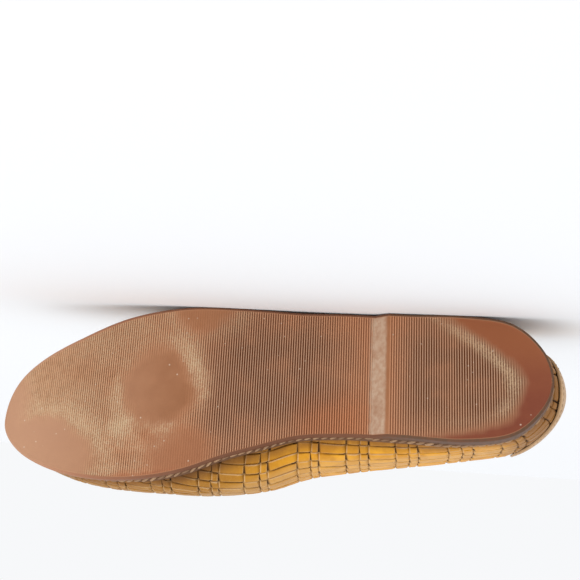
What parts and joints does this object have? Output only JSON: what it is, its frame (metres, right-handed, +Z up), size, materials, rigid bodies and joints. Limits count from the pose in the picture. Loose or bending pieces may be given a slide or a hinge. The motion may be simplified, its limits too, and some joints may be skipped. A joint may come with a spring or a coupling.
{
  "type": "woven loafer",
  "caption": "Left slip-on loafer of plain-woven leather strips on a thin ribbed rubber sole with a low heel, lying on its outer side.",
  "frame": {"origin": "on the floor, under the middle of the lying shoe's box", "axes": "+X towards the toe, +Y from the sole to the top of the shoe, +Z up, from the shoe's outer side to its inner side"},
  "size_m": [0.2617, 0.0715, 0.0871],
  "materials": {
    "sole_rubber": "moulded red-brown rubber, ribbed, worn smooth and dusty in places",
    "insole_leather": "smooth natural leather face",
    "woven_leather": "honey-yellow strips with a slight gloss and pale cut edges",
    "smooth_leather": "smooth tan leather"
  },
  "bodies": {
    "root": {"outsole": "sole_rubber", "insole": "insole_leather", "upper": "woven_leather", "heel_counter": "smooth_leather", "collar_piping": "smooth_leather"}
  },
  "joints": []
}
